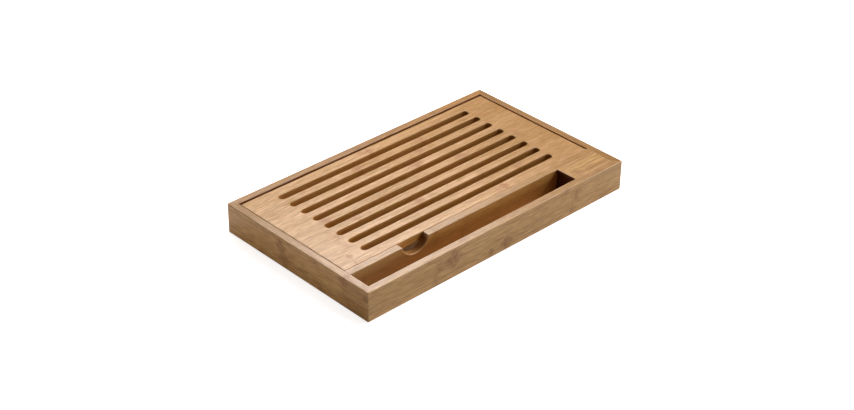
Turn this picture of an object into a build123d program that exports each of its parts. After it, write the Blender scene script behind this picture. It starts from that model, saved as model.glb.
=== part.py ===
from build123d import *
import math
import os

# Crumb catcher bread board in bamboo. A mitred frame holds a knife bay along its front. Behind the bay
# lies a crumb tray, covered by a loose slotted board whose face is level with the top of the frame.
# Sizes are millimetres. X runs along the length, Y from the front to the back and Z up.
# The origin is the middle of the footprint, on the surface that the bread board stands on.

# Mitred frame
frame_length = 420.0
frame_width = 250.0
frame_height = 40.0
rail_thickness = 10.0

# Base panel, housed in a groove that runs round the inside of the frame
panel_thickness = 5.0
panel_lift = 3.0
groove_depth = 4.0
panel_edge_clearance = 0.5

# Knife bay, the divider behind it and the block that closes its right-hand end
bay_width = 30.0
divider_thickness = 10.0
end_block_length = 65.0

# Tongues on the ends of the divider, in stopped housings in the side rails
tongue_length = 4.0
tongue_drop = 8.0

# Finger notch in the divider, an arc of a circle that is open at the top
notch_chord = 41.0
notch_depth = 16.0
notch_from_left_rail = 98.75

# Slotted board and the gaps that leave it loose in its recess
board_thickness = 10.0
board_gap_left = 0.5
board_gap_right = 2.5
board_gap_front = 0.4
board_gap_back = 3.6

# Round-ended slots in the board
slot_width = 10.0
bar_width = 11.0
slot_end_margin = 42.0
slot_side_margin = 12.0

# Ledges under the edge of the board
ledge_width = 8.0
ledge_height = 10.0
ledge_notch_clearance = 20.0

# Eased edges
frame_corner_radius = 1.5
frame_bottom_radius = 1.2
frame_top_radius = 0.8
joint_edge_radius = 0.4
board_corner_radius = 1.2
board_edge_radius = 0.6
notch_edge_radius = 0.8
ledge_edge_radius = 1.0

# Faces that the pieces share, worked out from the sizes above
left_inside = -frame_length / 2 + rail_thickness
right_inside = frame_length / 2 - rail_thickness
front_inside = -frame_width / 2 + rail_thickness
back_inside = frame_width / 2 - rail_thickness
floor_level = panel_lift + panel_thickness
ledge_level = frame_height - board_thickness
divider_front = front_inside + bay_width
divider_back = divider_front + divider_thickness
block_left = right_inside - end_block_length
notch_x = left_inside + notch_from_left_rail


def block(x_range, y_range, z_range):
    """Square-edged block between two faces on each axis."""
    (x0, x1), (y0, y1), (z0, z1) = x_range, y_range, z_range
    low_corner = (Align.MIN, Align.MIN, Align.MIN)
    return Pos(x0, y0, z0) * Box(x1 - x0, y1 - y0, z1 - z0, align=low_corner)


def edges_at_height(piece, height):
    """Edges of a piece that lie in the level plane at a height."""
    return piece.edges().filter_by_position(Axis.Z, height, height)


def tongue_spaces():
    """Spaces of the divider's two tongues, which the housings in the side rails match."""
    depth = (divider_front, divider_back)
    height = (floor_level, frame_height - tongue_drop)
    left = block((left_inside - tongue_length, left_inside), depth, height)
    right = block((right_inside, right_inside + tongue_length), depth, height)
    return left, right


def frame_ring():
    """All four rails as one ring, with eased edges, the panel groove and the divider housings."""
    ring = block(
        (-frame_length / 2, frame_length / 2),
        (-frame_width / 2, frame_width / 2),
        (0, frame_height),
    )
    ring = fillet(ring.edges().filter_by(Axis.Z), frame_corner_radius)
    ring = fillet(edges_at_height(ring, frame_height), frame_top_radius)
    ring = fillet(edges_at_height(ring, 0), frame_bottom_radius)
    ring -= block((left_inside, right_inside), (front_inside, back_inside), (0, frame_height))
    inner_arrises = [
        edge
        for edge in edges_at_height(ring, frame_height)
        if abs(edge.center().X) <= right_inside and abs(edge.center().Y) <= back_inside
    ]
    ring = fillet(inner_arrises, joint_edge_radius)
    ring -= block(
        (left_inside - groove_depth, right_inside + groove_depth),
        (front_inside - groove_depth, back_inside + groove_depth),
        (panel_lift, floor_level),
    )
    for tongue in tongue_spaces():
        ring -= tongue
    return ring


def mitred_rail(ring, side):
    """The part of the ring between the 45 degree mitres at the two ends of one side."""
    corners = [(-1, -1), (1, -1), (1, 1), (-1, 1)]
    start = corners[side]
    end = corners[(side + 1) % len(corners)]
    past_inner_face = 2 * rail_thickness
    half_length = frame_length / 2
    half_width = frame_width / 2
    outer = [(x * half_length, y * half_width) for x, y in (start, end)]
    inner = [
        (x * (half_length - past_inner_face), y * (half_width - past_inner_face))
        for x, y in (end, start)
    ]
    wedge = extrude(make_face(Polyline(*outer, *inner, close=True)), frame_height)
    return ring & wedge


def base_panel():
    """Thin panel in the frame's groove: the floor of the knife bay and of the crumb tray."""
    reach = groove_depth - panel_edge_clearance
    return block(
        (left_inside - reach, right_inside + reach),
        (front_inside - reach, back_inside + reach),
        (panel_lift, floor_level),
    )


def knife_divider():
    """Cross rail behind the knife bay, with a tongue at each end and the finger notch."""
    divider = block(
        (left_inside, right_inside),
        (divider_front, divider_back),
        (floor_level, frame_height),
    )
    notch_radius = (notch_chord**2 / 4 + notch_depth**2) / (2 * notch_depth)
    notch_axis_height = frame_height - notch_depth + notch_radius
    notch = Pos(notch_x, (divider_front + divider_back) / 2, notch_axis_height)
    notch *= Rot(90, 0, 0) * Cylinder(notch_radius, 2 * divider_thickness)
    divider -= notch
    divider = fillet(divider.edges().filter_by(GeomType.CIRCLE), notch_edge_radius)
    long_top_edges = edges_at_height(divider, frame_height).filter_by(Axis.X)
    divider = fillet(long_top_edges, joint_edge_radius)
    for tongue in tongue_spaces():
        divider += tongue
    return divider


def end_block():
    """Solid block that closes the right-hand end of the knife bay."""
    piece = block(
        (block_left, right_inside),
        (front_inside, divider_front),
        (floor_level, frame_height),
    )
    return fillet(edges_at_height(piece, frame_height), joint_edge_radius)


def ledge(x_range, y_range):
    """Square strip that carries an edge of the board, with its lower edges rounded."""
    strip = block(x_range, y_range, (ledge_level - ledge_height, ledge_level))
    along = Axis.X if x_range[1] - x_range[0] > y_range[1] - y_range[0] else Axis.Y
    lower_edges = edges_at_height(strip, ledge_level - ledge_height).filter_by(along)
    return fillet(lower_edges, ledge_edge_radius)


def ledges():
    """Strips along the side rails, the back rail and the divider, clear of the finger notch."""
    beside_left = left_inside + ledge_width
    beside_right = right_inside - ledge_width
    in_front_of_back = back_inside - ledge_width
    divider_strip = (divider_back, divider_back + ledge_width)
    notch_reach = notch_chord / 2 + ledge_notch_clearance
    return {
        "back_ledge": ledge((left_inside, right_inside), (in_front_of_back, back_inside)),
        "left_ledge": ledge((left_inside, beside_left), (divider_back, in_front_of_back)),
        "right_ledge": ledge((beside_right, right_inside), (divider_back, in_front_of_back)),
        "front_ledge_short": ledge((beside_left, notch_x - notch_reach), divider_strip),
        "front_ledge_long": ledge((notch_x + notch_reach, beside_right), divider_strip),
    }


def slotted_board():
    """Loose board with as many slots as fit between its side margins."""
    x0 = left_inside + board_gap_left
    x1 = right_inside - board_gap_right
    y0 = divider_back + board_gap_front
    y1 = back_inside - board_gap_back
    board = block((x0, x1), (y0, y1), (ledge_level, frame_height))
    board = fillet(board.edges().filter_by(Axis.Z), board_corner_radius)
    pitch = slot_width + bar_width
    slot_count = math.floor((y1 - y0 - 2 * slot_side_margin + bar_width) / pitch)
    slot_length = x1 - x0 - 2 * slot_end_margin
    outline = SlotOverall(slot_length, slot_width)
    first_y = (y0 + y1) / 2 - (slot_count - 1) * pitch / 2
    for index in range(slot_count):
        centre = Pos((x0 + x1) / 2, first_y + index * pitch, ledge_level)
        board -= centre * extrude(outline, board_thickness)
    rims = edges_at_height(board, frame_height) + edges_at_height(board, ledge_level)
    board = fillet(rims, board_edge_radius)
    print("slots", slot_count, "length", slot_length, "first centre y", round(first_y, 2))
    return board


ring = frame_ring()
rail_names = ["front_rail", "right_rail", "back_rail", "left_rail"]
nodes = {name: mitred_rail(ring, side) for side, name in enumerate(rail_names)}
nodes |= {
    "base_panel": base_panel(),
    "knife_divider": knife_divider(),
    "end_block": end_block(),
    **ledges(),
    "slotted_board": slotted_board(),
}

os.makedirs("parts", exist_ok=True)
for name, shape in nodes.items():
    export_step(shape, f"parts/{name}.step")
    print(name, round(shape.volume), "mm3")
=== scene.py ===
import math

import bpy
from mathutils import Matrix, Vector


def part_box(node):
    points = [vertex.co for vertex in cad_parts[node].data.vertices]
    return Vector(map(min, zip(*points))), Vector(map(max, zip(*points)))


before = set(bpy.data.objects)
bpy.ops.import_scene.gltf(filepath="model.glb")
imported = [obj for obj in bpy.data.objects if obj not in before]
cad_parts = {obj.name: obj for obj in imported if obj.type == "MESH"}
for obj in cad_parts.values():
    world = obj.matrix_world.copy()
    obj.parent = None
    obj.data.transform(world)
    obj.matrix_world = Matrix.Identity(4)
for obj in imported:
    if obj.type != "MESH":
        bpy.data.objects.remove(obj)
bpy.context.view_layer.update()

bpy.ops.object.select_all(action="DESELECT")


# The view. The bread board is seen from beyond its front left corner, about a third of the way up from
# level towards overhead. The camera leans very slightly, as the one that took the picture did.
camera_place = Vector((-1.2514, -1.3062, 1.1474))
camera_aim = Vector((-0.0161, -0.0138, 0.0200))
camera_lean = math.radians(0.709)
camera = bpy.data.objects.new("camera", bpy.data.cameras.new("camera"))
camera.data.lens = 74.12
camera.data.sensor_width = 36.0
aiming = (camera_aim - camera_place).to_track_quat("-Z", "Y").to_matrix().to_4x4()
camera.matrix_world = Matrix.Translation(camera_place) @ aiming @ Matrix.Rotation(camera_lean, 4, "Z")
bpy.context.scene.collection.objects.link(camera)
bpy.context.scene.camera = camera


# The table and the light. A plain pale table that the picture shows as white. The main soft lamp stands
# to the right with a fainter one above it, two small ones light the front and the left side, and a
# narrow one behind lays a sheen over the front left of the top.
class Wire:
    """One value in a material's node tree. Arithmetic on it adds Math nodes to the same tree."""

    def __init__(self, socket):
        self.socket = socket

    def add(self, kind, settings, inputs, output=0):
        """Another node in this wire's tree: its settings are made first, and then its inputs filled."""
        node = self.socket.id_data.nodes.new(kind)
        for name, value in settings.items():
            setattr(node, name, value)
        for name, value in inputs.items():
            if isinstance(value, Wire):
                self.socket.id_data.links.new(value.socket, node.inputs[name])
            else:
                node.inputs[name].default_value = value
        return Wire(node.outputs[output])

    def math(self, operation, first, second=0.0):
        return self.add("ShaderNodeMath", {"operation": operation}, {0: first, 1: second})

    def __add__(self, other):
        return self.math("ADD", self, other)

    def __sub__(self, other):
        return self.math("SUBTRACT", self, other)

    def __mul__(self, other):
        return self.math("MULTIPLY", self, other)

    def __truediv__(self, other):
        return self.math("DIVIDE", self, other)

    def __rsub__(self, other):
        return self.math("SUBTRACT", other, self)

    def __abs__(self):
        return self.math("ABSOLUTE", self)

    def __floor__(self):
        return self.math("FLOOR", self)

    __radd__ = __add__
    __rmul__ = __mul__

    def length(self, other):
        """The length of the straight line that has this wire and the other one as its two steps."""
        return self.math("SQRT", self * self + other * other)

    def rise(self, low, high):
        """0 where this wire is at low or beyond, 1 at high or beyond, and a smooth ramp between."""
        limits = {"Value": self, "From Min": low, "From Max": high}
        return self.add("ShaderNodeMapRange", {"interpolation_type": "SMOOTHSTEP"}, limits)

    def tint(self, first, second):
        """The colour first where this wire is 0, and second where it is 1."""
        colours = {"Factor": self, 6: first, 7: second}
        return self.add("ShaderNodeMix", {"data_type": "RGBA"}, colours, output=2)


def new_tree(name):
    """An empty material and the Surface socket of its output node."""
    material = bpy.data.materials.new(name)
    material.use_nodes = True
    material.node_tree.nodes.clear()
    output = material.node_tree.nodes.new("ShaderNodeOutputMaterial")
    return material, output.inputs["Surface"]


material, surface = new_tree("pale_table")
light_path = Wire(material.node_tree.nodes.new("ShaderNodeLightPath").outputs["Is Camera Ray"])
seen_white = light_path.add("ShaderNodeBsdfDiffuse", {}, {"Color": (0.90, 0.90, 0.90, 1)})
lifted = light_path.add("ShaderNodeEmission", {}, {"Color": (1, 1, 1, 1), "Strength": 0.82})
seen = light_path.add("ShaderNodeAddShader", {}, {0: seen_white, 1: lifted})
grey = light_path.add("ShaderNodeBsdfDiffuse", {}, {"Color": (0.60, 0.60, 0.60, 1)})
table_finish = light_path.add("ShaderNodeMixShader", {}, {0: light_path, 1: grey, 2: seen})
material.node_tree.links.new(table_finish.socket, surface)
bpy.ops.mesh.primitive_plane_add(size=12.0)
table = bpy.context.object
table.name = "table"
table.data.materials.append(material)
table.select_set(False)

world = bpy.data.worlds.new("room")
world.use_nodes = True
world.node_tree.nodes.clear()
room_path = Wire(world.node_tree.nodes.new("ShaderNodeLightPath").outputs["Is Camera Ray"])
room_fill = room_path.add("ShaderNodeBackground", {}, {"Color": (1, 1, 1, 1), "Strength": 0.02})
room_white = room_path.add("ShaderNodeBackground", {}, {"Color": (1, 1, 1, 1), "Strength": 1.0})
room_light = room_path.add("ShaderNodeMixShader", {}, {0: room_path, 1: room_fill, 2: room_white})
world_output = world.node_tree.nodes.new("ShaderNodeOutputWorld")
world.node_tree.links.new(room_light.socket, world_output.inputs["Surface"])
bpy.context.scene.world = world
bpy.context.scene.view_settings.view_transform = "Standard"


def soft_lamp(name, bearing, up, away, width, height, power):
    """A soft lamp aimed at the middle of the frame. Its bearing is in degrees round from +X towards +Y,
    up is its height in degrees, away and its size are in metres and its power is in watts."""
    turn = math.radians(bearing)
    tilt = math.radians(up)
    towards = Vector((math.cos(turn) * math.cos(tilt), math.sin(turn) * math.cos(tilt), math.sin(tilt)))
    lamp = bpy.data.objects.new(name, bpy.data.lights.new(name, "AREA"))
    lamp.data.shape = "RECTANGLE"
    lamp.data.size = width
    lamp.data.size_y = height
    lamp.data.energy = power
    lamp.location = towards * away
    lamp.rotation_euler = (-towards).to_track_quat("-Z", "Y").to_euler()
    bpy.context.scene.collection.objects.link(lamp)


soft_lamp("main_lamp", -8.5, 40.5, 6.0, 1.7, 1.7, 272)
soft_lamp("high_lamp", 0, 62, 6.0, 2.6, 2.6, 80)
soft_lamp("front_lamp", -60, 12, 3.0, 1.3, 1.3, 27.5)
soft_lamp("left_lamp", 158, 6, 3.0, 1.3, 0.6, 24)
soft_lamp("sheen_lamp", 66, 44.5, 1.54, 1.20, 0.15, 13.2)


# The mitred frame: four rails of 10 mm bamboo board, ripped to 40 mm and laid on edge. Each is sawn at
# 45 degrees, glued round the base panel, eased with a plane, sanded and oiled.
millimetres = 1000
frame_height = 40.0
rail_strip = 17.5
fibre_brown = (0.195, 0.080, 0.024, 1)
node_brown = (0.275, 0.113, 0.034, 1)
glue_brown = (0.180, 0.080, 0.030, 1)
pale_wear_and_highlight = (0.740, 0.460, 0.220, 1)
cut_side_brown = (0.640, 0.305, 0.052, 1)
painted_shade_brown = (0.200, 0.055, 0.012, 1)
rail_colours = (
    (0.700, 0.415, 0.172, 1),
    (0.350, 0.170, 0.055, 1),
    (0.535, 0.272, 0.112, 1),
    node_brown,
)


def bamboo(
    node, grain, side, strip, shift, seed,
    marks=(), shade=0.0, depth=1.0, colours=rail_colours, stains_and_painted_light=(), raw=False,
):
    """Gives a piece sanded and oiled bamboo. Its fibres run along the axis grain. Its strips lie side
    by side along the axis side, each strip wide, from shift on. A mark is a place where a node of the
    cane shows dark: along the grain, across it, half length and half height. Sizes are in mm. A stain
    is a function of x, y and z that is 1 where it shows, how strong it is and its colour; some of them
    are painted shade and painted highlights. The shade darkens the whole piece, the depth is how much
    its fibres stand out, and raw wood has no oil on it. The four colours are the pale, tan and rosy
    ones of the cane and the dark one at its nodes."""
    material, surface = new_tree(node + "_bamboo")
    place = Wire(material.node_tree.nodes.new("ShaderNodeTexCoord").outputs["Object"])
    axes = [
        place.add("ShaderNodeSeparateXYZ", {}, {"Vector": place}, output=axis) * millimetres
        for axis in "XYZ"
    ]
    along = axes["XYZ".index(grain)]
    across = axes["XYZ".index(side)]
    through = axes[3 - "XYZ".index(grain) - "XYZ".index(side)]

    between_draws = 17.31

    def chance(number, draw):
        """A random value from 0 to 1 for each whole number, and another one for each draw."""
        seeded = number + (seed + draw * between_draws)
        return place.add("ShaderNodeTexWhiteNoise", {"noise_dimensions": "1D"}, {"W": seeded})

    def stretched(length, width):
        """The place in the board, shrunk so that a pattern of size 1 gets this length and width."""
        sizes = {"X": own_along / length, "Y": across / width, "Z": through / width}
        return place.add("ShaderNodeCombineXYZ", {}, sizes)

    def streaks(length, width, detail):
        """Soft noise drawn out along the grain, about 0 in the middle and 1 at its strongest."""
        pattern = {"Vector": stretched(length, width), "Scale": 1.0, "Detail": detail}
        return (place.add("ShaderNodeTexNoise", {}, pattern) - 0.5) * 3

    # Strips in layers, each strip cut from another part of the cane, with a thin line of glue between
    layer = 5.0
    between_layers = 7
    longest_shift = 900
    counted = (across + shift) / strip
    number = math.floor(counted) + math.floor(through / layer + 0.5) * between_layers
    to_edge = 0.5 - abs(counted - math.floor(counted) - 0.5)
    glue_line = 1 - (to_edge * strip).rise(0.05, 0.45)
    own_along = along + chance(number, 1) * longest_shift

    # Fibres, from broad bands to single threads, and the dark dashes of the vessels
    drift = streaks(110, 12, 2.0)
    bands = streaks(90, 2.6, 2.0)
    fibres = streaks(42, 1.1, 2.0)
    threads = streaks(15, 0.55, 2.0)
    cells = {"Vector": stretched(16, 1.2), "Scale": 1.0}
    vessel = 1 - place.add("ShaderNodeTexVoronoi", {}, cells).rise(0.08, 0.34)
    vessel = vessel * streaks(30, 4, 1.0).rise(-0.20, 0.35)

    # Nodes of the cane: a thin dark line across a strip, in a patch of short ticks, and the marks
    tick_pattern = {"Vector": stretched(2.0, 6.0), "Scale": 1.0, "Detail": 3.0}
    ticks = place.add("ShaderNodeTexNoise", {}, tick_pattern).rise(0.40, 0.60)
    wobble = bands * 1.5
    between_nodes = 228.0
    steps = (own_along + wobble) / between_nodes
    to_node = abs(steps - math.floor(steps) - 0.5) * between_nodes
    node_depth = chance(number, 4) * 0.6 + 0.4
    node_patch = 1 - (to_node + fibres * 5 + bands * 3).rise(1.0, 10.0)
    patches = ((1 - to_node.rise(0.3, 1.5)) * 0.30 + node_patch * (ticks * 0.4 + 0.1)) * node_depth
    for mark_along, mark_across, half_length, half_height in marks:
        off_along = abs(along + wobble - mark_along)
        reach = off_along / half_length + abs(across - mark_across) / half_height + fibres * 0.5
        patches = patches + (1 - reach.rise(0.7, 1.8)) * (ticks * 0.50 + 0.45)
    patches = patches.math("MINIMUM", patches, 1.0)

    # Rubbed arrises: of the distances to the box's faces on three axes, the middle one is small
    to_face = []
    for axis, low, high in zip(axes, *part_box(node)):
        half = (high - low) / 2 * millimetres
        centre = (high + low) / 2 * millimetres
        to_face.append(half - abs(axis - centre))
    nearer = to_face[0].math("MINIMUM", to_face[0], to_face[1])
    further = to_face[0].math("MAXIMUM", to_face[0], to_face[1])
    middle = nearer.math("MAXIMUM", nearer, further.math("MINIMUM", further, to_face[2]))
    worn = (1 - (middle - fibres * 0.3).rise(0.1, 1.0)) * streaks(25, 12, 2.0).rise(-0.4, 0.5)

    # Colour
    pale, tan, rosy, node_dark = colours
    strip_tone = chance(number, 2) * 0.30 + (0.35 + shade)
    tone = strip_tone + (drift * 0.24 + bands * 0.29 + fibres * 0.62 + threads * 1.05) * depth
    colour = tone.tint(pale, tan)
    colour = (chance(number, 3) * streaks(120, 16, 1.0).rise(-0.3, 0.45) * 0.25).tint(colour, rosy)
    colour = (vessel * 0.50).tint(colour, fibre_brown)
    colour = (patches * 0.95).tint(colour, node_dark)
    colour = (glue_line * 0.40).tint(colour, glue_brown)
    colour = (worn * 0.30).tint(colour, pale_wear_and_highlight)
    # Stains, and painted shade and highlights, laid over the colour
    for shows, strength, stain in stains_and_painted_light:
        colour = (shows(*axes) * strength).tint(colour, stain)

    # Surface: the grain stands up a little, and oil takes the dryness off sanded bamboo
    height = bands * 0.06 + fibres * 0.12 + threads * 0.25 - vessel * 0.2 - glue_line * 0.6 - patches * 0.2
    grain_relief = {"Strength": 1.0, "Distance": 0.00010, "Height": height}
    bump = place.add("ShaderNodeBump", {}, grain_relief)
    roughness = (0.45 if raw else 0.28) + fibres * 0.015 + vessel * 0.03 + patches * 0.12 + worn * 0.05
    wood = {"Base Color": colour, "Roughness": roughness, "Normal": bump, "IOR": 1.5}
    wood["Specular IOR Level"] = 0.15 if raw else 0.50
    finish = place.add("ShaderNodeBsdfPrincipled", {}, wood)
    material.node_tree.links.new(finish.socket, surface)
    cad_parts[node].material_slots[0].material = material


inner_half_length = 200.0
inner_half_width = 115.0


def gap_face_shade(x, y, z):
    """1 on the inner faces of the side and back rails: painted shade of the gaps beside the board."""
    past_side = abs(x) - inner_half_length
    past_back = y - inner_half_width
    return 1 - past_side.math("MAXIMUM", past_side, past_back).rise(0.1, 0.7)


def on_top(z):
    """1 on a top face, above its eased edges."""
    return z.rise(frame_height - 1.0, frame_height - 0.4)


def front_end(x, y, z):
    """1 towards the front end of the left rail, where its cane is darker."""
    return (-70 - y).rise(0, 40)


def front_top(x, y, z):
    """1 on the top edge of the front rail, less so towards its left end."""
    return on_top(z) * (x.rise(0, 180) * 0.40 + 0.60)


def side_top(x, y, z):
    """1 on the top edge of a side rail, less so towards its front end."""
    return on_top(z) * (y.rise(-120, 100) * 0.75 + 0.25)


darker_colours = (
    (0.520, 0.262, 0.082, 1),
    (0.260, 0.120, 0.033, 1),
    (0.390, 0.182, 0.055, 1),
    node_brown,
)
warm = (
    (0.715, 0.400, 0.158, 1),
    (0.350, 0.161, 0.048, 1),
    (0.535, 0.260, 0.100, 1),
    (0.310, 0.130, 0.042, 1),
)
# Painted shade on the inner faces of the rails, deep in the gaps beside the board
inner_painted_shade = [(gap_face_shade, 0.65, painted_shade_brown)]
front_marks = [(-79, 25.5, 12, 9), (8, 10, 9, 7), (-18, 8, 4, 4)]
front_stains = [(front_top, 0.35, (0.250, 0.120, 0.050, 1))]
left_marks = [
    (27, 27, 8, 8), (20, 12, 8, 8), (-84, 35, 9, 4), (-121, 30, 4, 4), (64, 1, 6, 4), (-45, 3, 5, 4),
]
left_stains_and_shade = inner_painted_shade + [
    (front_end, 0.30, fibre_brown),
    (side_top, 0.80, (0.260, 0.112, 0.003, 1)),
]
right_stains_and_shade = inner_painted_shade + [(side_top, 0.40, (0.240, 0.120, 0.030, 1))]
bamboo("front_rail", "X", "Z", rail_strip, 0.5, 455, front_marks, depth=0.82, stains_and_painted_light=front_stains)
bamboo("back_rail", "X", "Z", rail_strip, 3.0, 11, shade=0.07, colours=darker_colours, stains_and_painted_light=inner_painted_shade)
bamboo("left_rail", "Y", "Z", rail_strip, 2.0, 21, left_marks, 0.04, 1.05, warm, left_stains_and_shade)
bamboo("right_rail", "Y", "Z", rail_strip, 5.0, 31, shade=0.07, colours=darker_colours, stains_and_painted_light=right_stains_and_shade)


# The base panel: 5 mm bamboo, thinner and a little darker, let into the groove of the frame without oil.
# It is the floor of the knife bay and of the crumb tray.
divider_front = -85.0
panel_strip = 22.0
hidden = (
    (0.520, 0.275, 0.090, 1),
    (0.290, 0.135, 0.040, 1),
    (0.400, 0.190, 0.062, 1),
    node_brown,
)


def tray_floor_shade(x, y, z):
    """1 on the panel's upper side behind the knife bay, the floor of the crumb tray: painted shade under
    the board.
    """
    return (y - divider_front).rise(0.0, 2.0) * z.rise(5.5, 7.5)


# Painted shade darkens the floor of the crumb tray under the board
tray_painted_shade = [(tray_floor_shade, 0.70, (0.100, 0.038, 0.014, 1))]
bamboo("base_panel", "X", "Y", panel_strip, 4.0, 43, colours=hidden, stains_and_painted_light=tray_painted_shade, raw=True)


# The divider and the end block: 10 mm board behind the knife bay, with the finger notch cut in its top
# edge, and a solid block that fills the bay's right-hand end. Both are glued in and oiled.
notch_axis_x = -101.25
notch_axis_z = 45.13
notch_radius = 21.13
block_end = 135.0


def below_top(x, y, z):
    """1 below the sanded top face, on the cut sides, which are given a redder brown."""
    return (frame_height - 0.7 - z).rise(0.0, 0.6)


def top_face(x, y, z):
    """1 on the top face of the divider, whose cane is more tan."""
    return on_top(z)


def pale_end(x, y, z):
    """1 on the bay wall towards its left-hand end, which is made paler and less red."""
    return below_top(x, y, z) * (1 - x.rise(-180, -70))


def outside_notch(x, z):
    """How far a place is outside the arc of the finger notch, whose axis lies above the divider."""
    return (x - notch_axis_x).length(z - notch_axis_z) - notch_radius


def notch_wall_shade(x, y, z):
    """1 on the cut surface of the finger notch, dark with its end grain and deepened by painted shade."""
    return 1 - outside_notch(x, z).rise(0.17, 0.67)


def notch_rim_highlight(x, y, z):
    """1 on the front rim of the finger notch: a painted highlight along its lower edge."""
    return (1 - outside_notch(x, z).rise(0.87, 1.67)) * (1 - (y - divider_front).rise(0.8, 2.2))


def end_grain_and_shade(x, y, z):
    """1 on the sawn end of the block, which faces the bay: darker end grain that took up oil, deepened to
    near black as painted shade at the bay's end.
    """
    return 1 - (x - block_end).rise(0.2, 1.0)


def smear(x, y, z):
    """1 along the dark streak that runs through the block, a little askew, beside the front rail."""
    slant = 0.06
    beside_streak = y + 109 + (x - 168) * slant
    return (1 - abs(beside_streak).rise(1.0, 4.5)) * x.rise(140, 165)


cut_sides = [(below_top, 0.45, cut_side_brown)]
divider_marks = [(-70, 30, 6, 9), (-180, 24, 4, 6)]
# The notch wall gets painted shade over its end grain, and the notch's front rim a painted highlight
divider_stains_and_painted_light = cut_sides + [
    (pale_end, 0.50, (0.550, 0.380, 0.190, 1)),
    (top_face, 0.50, (0.340, 0.160, 0.040, 1)),
    (notch_wall_shade, 0.60, painted_shade_brown),
    (notch_rim_highlight, 0.55, pale_wear_and_highlight),
]
# The block's end facing the bay: darker end grain, painted near black with shade
block_stains_and_shade = cut_sides + [
    (end_grain_and_shade, 0.93, (0.055, 0.007, 0.003, 1)),
    (smear, 0.35, fibre_brown),
]
bamboo("knife_divider", "X", "Z", rail_strip, 9.0, 57, divider_marks, stains_and_painted_light=divider_stains_and_painted_light)
bamboo("end_block", "X", "Y", rail_strip, 13.0, 61, shade=0.04, stains_and_painted_light=block_stains_and_shade)


# The ledges: sawn bamboo strips without oil, which carry the board. They are glued to the side and back
# rails and to the back of the divider, where they stop short of the finger notch.
ledges = [
    ("back_ledge", "X", 71),
    ("left_ledge", "Y", 83),
    ("right_ledge", "Y", 89),
    ("front_ledge_short", "X", 73),
    ("front_ledge_long", "X", 79),
]
for ledge, grain, seed in ledges:
    bamboo(ledge, grain, "Z", rail_strip, 1.0, seed, colours=hidden, raw=True)


# The slotted board: 10 mm bamboo with eight routed slots, loose in the frame. Its strips run along it,
# and the routed rims of the slots are rubbed pale.
board_strip = 21.0
slot_pitch = 21.0
slot_radius = 5.0
first_slot = -55.1
middle_of_slots = -1.0
half_straight_length = 151.5


def slot_rims(x, y, z):
    """1 along the top rim of a slot, which lies its radius away from the middle line of the slot."""
    row = (y - first_slot) / slot_pitch
    beside = (row - math.floor(row + 0.5)) * slot_pitch
    past_end = abs(x - middle_of_slots) - half_straight_length
    beyond = past_end.math("MAXIMUM", past_end, 0.0)
    return (1 - abs(beside.length(beyond) - (slot_radius + 0.2)).rise(0.2, 0.9)) * on_top(z)


def tan_end(x, y, z):
    """1 towards the right-hand end of the board, which is made darker and more tan."""
    return x.rise(20, 180)


board_colours = (
    (0.708, 0.402, 0.188, 1),
    (0.358, 0.160, 0.006, 1),
    (0.535, 0.262, 0.100, 1),
    (0.390, 0.145, 0.030, 1),
)
board_marks = [
    (-43, 81, 7, 9), (61, 80, 7, 9), (42, 61, 7, 8), (17, 42, 9, 9), (-148, 17, 8, 9), (70, 17, 8, 9),
    (-118, 0, 6, 7), (-38, -24, 7, 8), (107, -41, 7, 9), (60, -68, 5, 8), (-178, -57, 4, 4),
    (-6, 102, 6, 8),
]
board_stains = cut_sides + [
    (slot_rims, 0.30, pale_wear_and_highlight),
    (tan_end, 0.28, (0.260, 0.122, 0.038, 1)),
]
bamboo(
    "slotted_board", "X", "Y", board_strip, 2.0, 330,
    board_marks, depth=0.92, colours=board_colours, stains_and_painted_light=board_stains,
)
